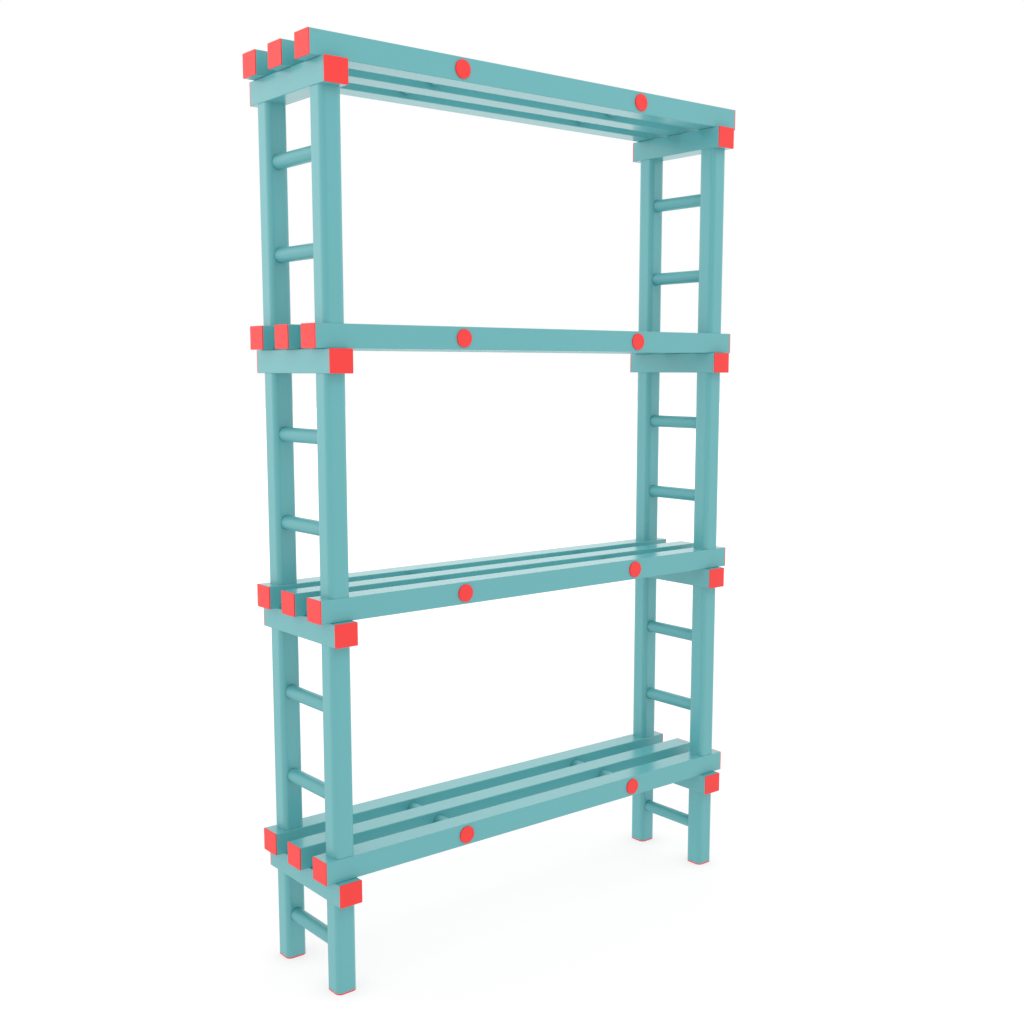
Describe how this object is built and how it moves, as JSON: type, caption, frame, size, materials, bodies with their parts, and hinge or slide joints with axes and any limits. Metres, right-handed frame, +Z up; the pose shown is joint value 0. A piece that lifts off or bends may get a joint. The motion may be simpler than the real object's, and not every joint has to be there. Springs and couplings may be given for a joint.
{
  "type": "slatted shelving unit",
  "caption": "Free-standing slatted shelving of plastic tube: ladder ends with round rungs, oblong slats on cross beams, tie tubes through the slats and contrasting push-in end caps.",
  "frame": {"origin": "on the floor, under the middle of the unit", "axes": "+Z up, +X along the shelves, +Y from the front to the back"},
  "size_m": [1, 0.248, 1.609],
  "materials": {
    "aqua_tube_plastic": "smooth extruded satin",
    "red_cap_plastic": "moulded satin",
    "inner_plastic": "moulded, out of sight"
  },
  "bodies": {
    "root": {"beam_end_caps": "red_cap_plastic", "foot_caps": "red_cap_plastic", "leg_front_left": "aqua_tube_plastic", "leg_front_right": "aqua_tube_plastic", "leg_rear_left": "aqua_tube_plastic", "leg_rear_right": "aqua_tube_plastic", "level_1_beam_left": "aqua_tube_plastic", "level_1_beam_right": "aqua_tube_plastic", "level_1_slat_front": "aqua_tube_plastic", "level_1_slat_middle": "aqua_tube_plastic", "level_1_slat_rear": "aqua_tube_plastic", "level_1_tie_tube_left": "aqua_tube_plastic", "level_1_tie_tube_right": "aqua_tube_plastic", "level_2_beam_left": "aqua_tube_plastic", "level_2_beam_right": "aqua_tube_plastic", "level_2_slat_front": "aqua_tube_plastic", "level_2_slat_middle": "aqua_tube_plastic", "level_2_slat_rear": "aqua_tube_plastic", "level_2_tie_tube_left": "aqua_tube_plastic", "level_2_tie_tube_right": "aqua_tube_plastic", "level_3_beam_left": "aqua_tube_plastic", "level_3_beam_right": "aqua_tube_plastic", "level_3_slat_front": "aqua_tube_plastic", "level_3_slat_middle": "aqua_tube_plastic", "level_3_slat_rear": "aqua_tube_plastic", "level_3_tie_tube_left": "aqua_tube_plastic", "level_3_tie_tube_right": "aqua_tube_plastic", "level_4_beam_left": "aqua_tube_plastic", "level_4_beam_right": "aqua_tube_plastic", "level_4_slat_front": "aqua_tube_plastic", "level_4_slat_middle": "aqua_tube_plastic", "level_4_slat_rear": "aqua_tube_plastic", "level_4_tie_tube_left": "aqua_tube_plastic", "level_4_tie_tube_right": "aqua_tube_plastic", "slat_end_caps": "red_cap_plastic", "storey_1_rungs_left": "aqua_tube_plastic", "storey_1_rungs_right": "aqua_tube_plastic", "storey_2_post_front_left": "aqua_tube_plastic", "storey_2_post_front_right": "aqua_tube_plastic", "storey_2_post_rear_left": "aqua_tube_plastic", "storey_2_post_rear_right": "aqua_tube_plastic", "storey_2_rungs_left": "aqua_tube_plastic", "storey_2_rungs_right": "aqua_tube_plastic", "storey_3_post_front_left": "aqua_tube_plastic", "storey_3_post_front_right": "aqua_tube_plastic", "storey_3_post_rear_left": "aqua_tube_plastic", "storey_3_post_rear_right": "aqua_tube_plastic", "storey_3_rungs_left": "aqua_tube_plastic", "storey_3_rungs_right": "aqua_tube_plastic", "storey_4_post_front_left": "aqua_tube_plastic", "storey_4_post_front_right": "aqua_tube_plastic", "storey_4_post_rear_left": "aqua_tube_plastic", "storey_4_post_rear_right": "aqua_tube_plastic", "storey_4_rungs_left": "aqua_tube_plastic", "storey_4_rungs_right": "aqua_tube_plastic", "through_spigots": "inner_plastic", "tie_tube_caps": "red_cap_plastic", "top_spigots": "inner_plastic"}
  },
  "joints": []
}
